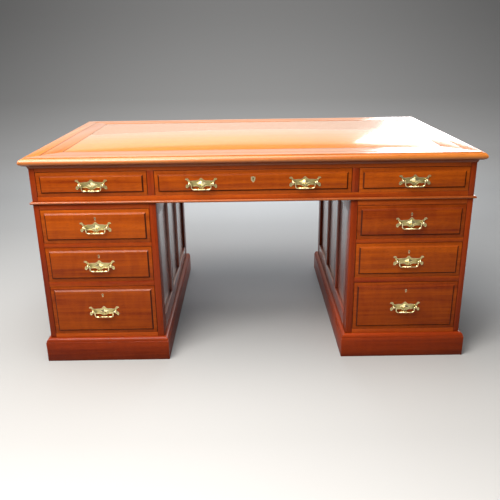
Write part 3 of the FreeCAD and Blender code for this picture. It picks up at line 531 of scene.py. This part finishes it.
JOINTS = [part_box(node)[1][:2] for node in ("top_panel", "top_band")]
TOP_GOLD = polished_wood(
    "top_mahogany", (0.68, 0.23, 0.03, 1), (0.56, 0.155, 0.018, 1), mottle=0.6, gloss=1,
    haze=0.12, joints=JOINTS,
)
BORDER_RED = polished_wood(
    "border_mahogany", (0.6, 0.19, 0.024, 1), (0.42, 0.1, 0.012, 1), mottle=0.25, gloss=0.8,
    haze=0.18, joints=JOINTS,
)
joinery("top_panel", TOP_GOLD, ease=0.3 * MM)
joinery("top_band", BORDER_RED, ease=0.3 * MM)
joinery("top_border", BORDER_RED, ease=0.4 * MM)


# --- Drawer fronts and boxes -------------------------------------------------------------------
# Each drawer has a mahogany front with a bevelled, raised field, and a box of waxed oak linings:
# dovetailed sides, a back and a bottom slid into grooves.

LEVELS = ("frieze", "upper", "middle", "lower")
DRAWERS = [f"{side}_{level}_drawer" for side in SIDES for level in LEVELS]
DRAWERS.append("centre_frieze_drawer")
# The bevels round each raised field are darkened as painted shade, most where they face down or
# sideways.
FRONT_AMBER = polished_wood(
    "drawer_front_mahogany", (0.53, 0.1, 0.004, 1), (0.2, 0.022, 0.002, 1), mottle=0.45,
    gloss=0.12, bevel_shade_depth=0.85, specular=0.1,
)
LINING_OAK = polished_wood(
    "drawer_lining", (0.58, 0.38, 0.2, 1), (0.4, 0.23, 0.11, 1), mottle=0.2, gloss=0.15, haze=0.35,
    pore=(0.2, 0.11, 0.05, 1), rough=0.15,
)
for drawer in DRAWERS:
    joinery(f"{drawer}_front", FRONT_AMBER, ease=0.9 * MM)
    joinery(f"{drawer}_box", LINING_OAK, ease=0.5 * MM)


# --- Brass backplates, posts, locks and keyholes ------------------------------------------------
# Cast brass: each backplate has a raised rim round a sunk field, a pyramid lozenge and a boss. Two
# turned posts pass through it and the drawer front to nuts inside. The locks are brass cases.

YELLOW_METAL = (0.9, 0.74, 0.34, 1)
BRIGHT_METAL = (1, 0.9, 0.55, 1)
RUBBED_METAL = (1, 0.9, 0.62, 1)
OLIVE_TARNISH = (0.42, 0.34, 0.1, 1)
# Dark brown, for the painted shade in the brass's corners.
BRASS_CORNER_SHADE = (0.05, 0.025, 0.006, 1)


def cast_brass():
    """Yellow brass, brighter where hands rub it, olive in a plate's field and darkened with painted
    shade in its corners.
    """
    material, tree, shader = new_finish("brass")
    place = own_place(tree)
    cloud = stretched_noise(tree, place, (120, 120, 120), 3)
    grit = stretched_noise(tree, place, (900, 900, 900), 3)
    hollow = attribute(tree, "hollow").outputs["Fac"]
    wear_and_shade = placed_group(tree, WEAR_AND_SHADE_MASKS, Reach=1.2 * MM, Corner_reach=16 * MM)
    colour = blend_colours(tree, rescale(tree, cloud, 0.35, 0.65), YELLOW_METAL, BRIGHT_METAL)
    sunk = maths(tree, "MULTIPLY", hollow, rescale(tree, cloud, 0.3, 0.7, 0.45, 0.85))
    colour = blend_colours(tree, sunk, colour, OLIVE_TARNISH)
    # Corners of the brass are darkened as painted shade.
    shaded_brass_corners = maths(tree, "MULTIPLY", wear_and_shade.outputs["Corner"], 0.96)
    colour = blend_colours(tree, shaded_brass_corners, colour, BRASS_CORNER_SHADE)
    rubbed = maths(tree, "MULTIPLY", wear_and_shade.outputs["Edge"], 0.6)
    wire(tree, blend_colours(tree, rubbed, colour, RUBBED_METAL), shader.inputs["Base Color"])
    polish = rescale(tree, cloud, 0.3, 0.7, 0.16, 0.28)
    rough = maths(tree, "MULTIPLY_ADD", wear_and_shade.outputs["Corner"], 0.3, polish)
    wire(tree, maths(tree, "MULTIPLY_ADD", hollow, 0.12, rough), shader.inputs["Roughness"])
    shader.inputs["Metallic"].default_value = 1
    wire(tree, relief(tree, grit, 0.3, 0.3 * MM), shader.inputs["Normal"])
    return material


BRASS = cast_brass()
PLATE_THICKNESS = 1.6 * MM
PLATE_MIN_WIDTH = 90 * MM
RIM_WIDTH = 0.9 * MM
RIM_SLOPE = 0.4 * MM
FIELD_DEPTH = 0.7 * MM
FACING_FRONT = -0.999
SAME_LEVEL = 0.05 * MM


def sink_field(plate):
    """Leaves a backplate's rim proud and sinks the field inside it. Gives the sunk corners."""
    face_y = max(vert.co.y for vert in plate.verts) - PLATE_THICKNESS
    field = [
        face
        for face in plate.faces
        if face.normal.y < FACING_FRONT
        and abs(face.calc_center_median().y - face_y) < SAME_LEVEL
    ]
    for thickness, depth in ((RIM_WIDTH, 0), (RIM_SLOPE, -FIELD_DEPTH)):
        bmesh.ops.inset_region(
            plate, faces=field, thickness=thickness, depth=depth, use_even_offset=True
        )
    return {vert for face in field for vert in face.verts}


def castings(node):
    """Replaces a CAD node of brass pieces by the same pieces with their cast detail."""
    verts, faces, hollow = [], [], []
    for piece in loose_boards(node):
        sunk = sink_field(piece) if extents(piece)[0] > PLATE_MIN_WIDTH else set()
        piece.verts.index_update()
        first = len(verts)
        verts += [vert.co.copy() for vert in piece.verts]
        hollow += [float(vert in sunk) for vert in piece.verts]
        faces += [[vert.index + first for vert in face.verts] for face in piece.faces]
        piece.free()
    mesh = bpy.data.meshes.new(f"{node}_cast")
    mesh.from_pydata(verts, [], faces)
    mesh.attributes.new("hollow", "FLOAT", "POINT").data.foreach_set("value", hollow)
    mesh.shade_smooth()
    mesh.set_sharp_from_angle(angle=CRISP_ANGLE)
    mesh.materials.append(BRASS)
    cast = placed(f"{node}_cast", mesh)
    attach(cast, frame["nodes"][node]["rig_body"])
    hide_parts(node)


for drawer in DRAWERS:
    castings(f"{drawer}_fittings")


# --- Bails --------------------------------------------------------------------------------------
# The swinging part of each handle: a brass rod bent round at both ends onto its pins, a little
# thicker along the grip, with five turned beads and a collar at each side of them.

ARM_RADIUS = 2.2 * MM
PIN_RADIUS = 1.5 * MM
PIN_LENGTH = 4.4 * MM
PIN_NECK = 0.05 * MM
ELBOW = 3.2 * MM
CORNER = 9 * MM
DROP = 20.5 * MM
GRIP_HALF_HEIGHT = 3.5 * MM
BEAD_PITCH = 4.2 * MM
BEADS = 5
BEAD_STEPS = 36
BEAD_SWELL = 0.75 * MM
END_SWELL = 0.25 * MM
COLLAR_START, COLLAR_END, COLLAR_FOOT = 0.4 * MM, 1.2 * MM, 1.6 * MM
COLLAR_SWELL = 0.7 * MM
GRIP_SWELL = 0.1 * MM
ROD_SIDES = 16


def arc_points(centre, radius, start, end, count):
    """Points along an arc in the XZ plane, angles in degrees from +X."""
    x, z = centre
    turns = [math.radians(start + (end - start) * k / (count - 1)) for k in range(count)]
    return [Vector((x + radius * math.cos(t), 0, z + radius * math.sin(t))) for t in turns]


def bail_path(half_span):
    """The right half of a bail, from the grip's middle to the pin's tip: points and radii."""
    shoulder = half_span - PIN_LENGTH
    arm = shoulder - ELBOW
    path = []
    bead_end = BEAD_PITCH * BEADS / 2
    for k in range(BEAD_STEPS + 1):
        x = bead_end * k / BEAD_STEPS
        swell = 1 - (x / bead_end) ** 2
        ripple = abs(math.cos(math.pi * x / BEAD_PITCH))
        bead = (END_SWELL + BEAD_SWELL * swell) * ripple + END_SWELL * swell
        path.append((Vector((x, 0, -DROP)), ARM_RADIUS + bead))
    collar = ((COLLAR_START, COLLAR_SWELL), (COLLAR_END, COLLAR_SWELL), (COLLAR_FOOT, GRIP_SWELL))
    for past, swell in collar:
        path.append((Vector((bead_end + past, 0, -DROP)), ARM_RADIUS + swell))
    corner = arc_points((arm - CORNER, CORNER - DROP), CORNER, -90, 0, count=9)
    path += [(point, ARM_RADIUS + GRIP_SWELL) for point in corner]
    elbow = arc_points((arm + ELBOW, -ELBOW), ELBOW, 180, 90, count=7)
    path += [(point, ARM_RADIUS) for point in elbow]
    path += [(Vector((x, 0, 0)), PIN_RADIUS) for x in (shoulder + PIN_NECK, half_span)]
    return path


def swept_rod():
    """Geometry nodes that sweep a round section along a path, as thick as its points say."""
    tree = bpy.data.node_groups.new("Swept rod", "GeometryNodeTree")
    for label, kind in (("Path", "Geometry"), ("Sides", "Int"), ("Metal", "Material")):
        tree.interface.new_socket(label, in_out="INPUT", socket_type=f"NodeSocket{kind}")
    tree.interface.new_socket("Rod", in_out="OUTPUT", socket_type="NodeSocketGeometry")
    given = tree.nodes.new("NodeGroupInput")
    curve = tree.nodes.new("GeometryNodeMeshToCurve")
    section = tree.nodes.new("GeometryNodeCurvePrimitiveCircle")
    section.inputs["Radius"].default_value = 1
    thickness = tree.nodes.new("GeometryNodeInputNamedAttribute")
    thickness.data_type = "FLOAT"
    thickness.inputs["Name"].default_value = "thickness"
    sweep = tree.nodes.new("GeometryNodeCurveToMesh")
    sweep.inputs["Fill Caps"].default_value = True
    smooth = tree.nodes.new("GeometryNodeSetShadeSmooth")
    whole = tree.nodes.new("GeometryNodeRealizeInstances")
    metal = tree.nodes.new("GeometryNodeSetMaterial")
    result = tree.nodes.new("NodeGroupOutput")
    for source, target in (
        (given.outputs["Path"], curve.inputs["Mesh"]),
        (given.outputs["Sides"], section.inputs["Resolution"]),
        (curve.outputs["Curve"], sweep.inputs["Curve"]),
        (section.outputs["Curve"], sweep.inputs["Profile Curve"]),
        (thickness.outputs["Attribute"], sweep.inputs["Scale"]),
        (sweep.outputs["Mesh"], smooth.inputs["Geometry"]),
        (smooth.outputs["Geometry"], whole.inputs["Geometry"]),
        (whole.outputs["Geometry"], metal.inputs["Geometry"]),
        (given.outputs["Metal"], metal.inputs["Material"]),
        (metal.outputs["Geometry"], result.inputs["Rod"]),
    ):
        tree.links.new(source, target)
    return tree


SWEPT_ROD = swept_rod()
BAILS = [f"{drawer}_bail" for drawer in DRAWERS[:-1]]
BAILS += ["centre_frieze_drawer_left_bail", "centre_frieze_drawer_right_bail"]
SOCKETS = {
    item.name: item.identifier
    for item in SWEPT_ROD.interface.items_tree
    if item.in_out == "INPUT"
}
for bail in BAILS:
    low, high = (Vector(corner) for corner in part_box(bail))
    middle = (low + high) / 2
    hinge = Vector((middle.x, middle.y, low.z + GRIP_HALF_HEIGHT + DROP))
    half = bail_path((high.x - low.x) / 2)
    mirrored = [(Vector((-point.x, 0, point.z)), thick) for point, thick in reversed(half[1:])]
    points, thicknesses = zip(*(mirrored + half))
    line = bpy.data.meshes.new(f"{bail}_line")
    steps = [(k, k + 1) for k in range(len(points) - 1)]
    line.from_pydata([hinge + point for point in points], steps, [])
    thickness = line.attributes.new("thickness", "FLOAT", "POINT")
    thickness.data.foreach_set("value", thicknesses)
    bent = placed(f"{bail}_line", line)
    modifier = bent.modifiers.new("sweep", "NODES")
    modifier.node_group = SWEPT_ROD
    modifier[SOCKETS["Sides"]] = ROD_SIDES
    modifier[SOCKETS["Metal"]] = BRASS
    evaluated = bent.evaluated_get(bpy.context.evaluated_depsgraph_get())
    made = bpy.data.meshes.new_from_object(evaluated)
    bpy.data.objects.remove(bent)
    rod = placed(f"{bail}_rod", made)
    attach(rod, frame["nodes"][bail]["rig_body"])
    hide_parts(bail)


# --- Screws -------------------------------------------------------------------------------------
# Eight steel wood screws hold the top to the frieze and eight the frieze to the pedestals. They sit
# in the pine inside the carcass, a little rusty from damp summers.

GREY_STEEL = (0.36, 0.34, 0.32, 1)
RUST_BROWN = (0.2, 0.07, 0.03, 1)
steel, tree, shader = new_finish("screw_steel")
patches = stretched_noise(tree, own_place(tree), (400, 400, 400), 4)
rust = rescale(tree, patches, 0.5, 0.65)
wire(tree, blend_colours(tree, rust, GREY_STEEL, RUST_BROWN), shader.inputs["Base Color"])
wire(tree, rescale(tree, patches, 0.4, 0.65, 0.3, 0.75), shader.inputs["Roughness"])
wire(tree, maths(tree, "SUBTRACT", 1, rust), shader.inputs["Metallic"])
wire(tree, relief(tree, patches, 0.4, 0.2 * MM), shader.inputs["Normal"])
screws = frame["nodes"]["carcass_screws"]
screws.data.materials.clear()
screws.data.materials.append(steel)
screws.data.shade_smooth()
screws.data.set_sharp_from_angle(angle=ARRIS_ANGLE)


# --- The studio --------------------------------------------------------------------------------
# A pale paper floor that sweeps up into a backdrop behind the desk, with its colour painted lighter
# and darker along the sweep as painted light and shade, soft boxes hung round it, and the camera,
# which stands before the kneehole and looks down a little.

PAPER_HALF_WIDTH = 14.0
PAPER_NEAR_END = -14.0
PAPER_STEP = 0.45
PAPER_STEPS = 40
BEND_START = 4.0
BEND_RADIUS = 1.5
BEND_STEPS = 12
BACKDROP_HEIGHT = 6.0
floor_mesh = bpy.data.meshes.new("studio_floor")
sweep = bmesh.new()
profile = [(PAPER_NEAR_END + k * PAPER_STEP, 0.0) for k in range(PAPER_STEPS + 1)]
for k in range(1, BEND_STEPS + 1):
    angle = k / BEND_STEPS * math.pi / 2
    rise = BEND_RADIUS * (1 - math.cos(angle))
    profile.append((BEND_START + BEND_RADIUS * math.sin(angle), rise))
profile.append((BEND_START + BEND_RADIUS, BACKDROP_HEIGHT))
sides = (-PAPER_HALF_WIDTH, PAPER_HALF_WIDTH)
rows = [[sweep.verts.new((x, y, z)) for x in sides] for y, z in profile]
for near, far in zip(rows, rows[1:]):
    sweep.faces.new((near[0], near[1], far[1], far[0]))
sweep.to_mesh(floor_mesh)
sweep.free()
floor_mesh.shade_smooth()
floor = placed("studio_floor", floor_mesh)

paper, tree, shader = new_finish("studio_paper")
split = tree.nodes.new("ShaderNodeSeparateXYZ")
wire(tree, own_place(tree), split.inputs[0])
along = maths(tree, "ADD", split.outputs["Y"], split.outputs["Z"])
# The paper's colour is painted lighter and darker along the sweep as painted light and shade,
# darker round and behind the desk and towards the top of the backdrop.
FADE_START, FADE_END = -1.3, 7.2
PAINTED_LIGHT_STOPS = (
    (0.0, 0.54), (0.04, 0.45), (0.1, 0.4), (0.3, 0.32), (0.4, 0.34),
    (0.5, 0.43), (0.63, 0.54), (0.72, 0.42), (0.8, 0.32), (1.0, 0.24),
)
BOUNCE = 0.2
painted_light_ramp = tree.nodes.new("ShaderNodeValToRGB")
wire(tree, rescale(tree, along, FADE_START, FADE_END), painted_light_ramp.inputs["Fac"])
for k, (position, shade) in enumerate(PAINTED_LIGHT_STOPS):
    stop = painted_light_ramp.color_ramp.elements[k] if k < 2 else painted_light_ramp.color_ramp.elements.new(position)
    stop.position = position
    stop.color = (shade, shade, shade, 1)
path = tree.nodes.new("ShaderNodeLightPath")
dim = rescale(tree, path.outputs["Is Diffuse Ray"], 0, 1, 1, BOUNCE)
scaled = tree.nodes.new("ShaderNodeVectorMath")
scaled.operation = "SCALE"
wire(tree, painted_light_ramp.outputs["Color"], scaled.inputs[0])
wire(tree, dim, scaled.inputs["Scale"])
wire(tree, scaled.outputs[0], shader.inputs["Base Color"])
shader.inputs["Roughness"].default_value = 0.9
shader.inputs["Specular IOR Level"].default_value = 0
floor_mesh.materials.append(paper)


def soft_light(name, place, aim, width, height, power, colour=(1, 1, 1), lights="all"):
    """A soft box that stands at place and faces aim. It lights all, or the gloss or the rest."""
    lamp = bpy.data.lights.new(name, "AREA")
    lamp.shape = "RECTANGLE"
    lamp.size = width
    lamp.size_y = height
    lamp.energy = power
    lamp.color = colour
    stand = placed(name, lamp)
    stand.location = place
    stand.rotation_euler = (Vector(aim) - Vector(place)).to_track_quat("-Z", "Y").to_euler()
    stand.visible_camera = False
    stand.visible_diffuse = lights != "gloss"
    stand.visible_glossy = lights != "surfaces"


# Each box: where it stands, where it faces, its width and height, its watts and its colour.
soft_light("overhead_box", (-0.5, -0.5, 2.9), (0, 0, 0.7), 2.6, 2.2, 110, (1, 0.97, 0.92))
soft_light("key_box", (-1.1, -1.7, 2.35), (-0.2, -0.45, 0.6), 1.4, 1.1, 68, (1, 0.96, 0.9))
soft_light("front_fill", (-0.5, -2.9, 1.75), (-0.1, -0.4, 0.6), 2.4, 1.5, 17, (1, 0.95, 0.88))
soft_light("rear_fill", (0.1, 2.6, 1.5), (0, 0.6, 0), 1.6, 1.0, 42, (0.82, 0.91, 1), "surfaces")
soft_light("backdrop_box", (0, 2.6, 3.4), (0, 4.4, 0.4), 4.0, 1.6, 90, lights="surfaces")
soft_light("right_window", (2.2, 3, 1.4), (1, 0, 0.78), 1.9, 1.6, 55, (0.97, 0.98, 1), "gloss")
soft_light("rear_box", (-0.4, 3.5, 1.5), (-0.4, 0, 0.78), 4.8, 1.8, 24, (1, 0.88, 0.76), "gloss")

world = bpy.data.worlds.new("studio_air")
world.use_nodes = True
air = world.node_tree.nodes["Background"]
air.inputs["Color"].default_value = (0.95, 0.97, 1, 1)
air.inputs["Strength"].default_value = 0.18
bpy.context.scene.world = world

EYE = Vector((-0.0205, -2.501, 1.160))
YAW = 0.003
PITCH = -0.342
ROLL = -0.014
forward = Vector((math.sin(YAW), math.cos(YAW), 0))
ahead = forward * math.cos(PITCH) + Vector((0, 0, math.sin(PITCH)))
level = Vector((math.cos(YAW), -math.sin(YAW), 0))
upright = level.cross(ahead)
right = level * math.cos(ROLL) + upright * math.sin(ROLL)
up = upright * math.cos(ROLL) - level * math.sin(ROLL)
camera_data = bpy.data.cameras.new("camera")
camera_data.sensor_width = 36
camera_data.lens = 43.2
camera = placed("camera", camera_data)
turn = Matrix((right, up, -ahead)).transposed().to_4x4()
camera.matrix_world = Matrix.Translation(EYE) @ turn
bpy.context.scene.camera = camera
bpy.context.scene.view_settings.view_transform = "Standard"
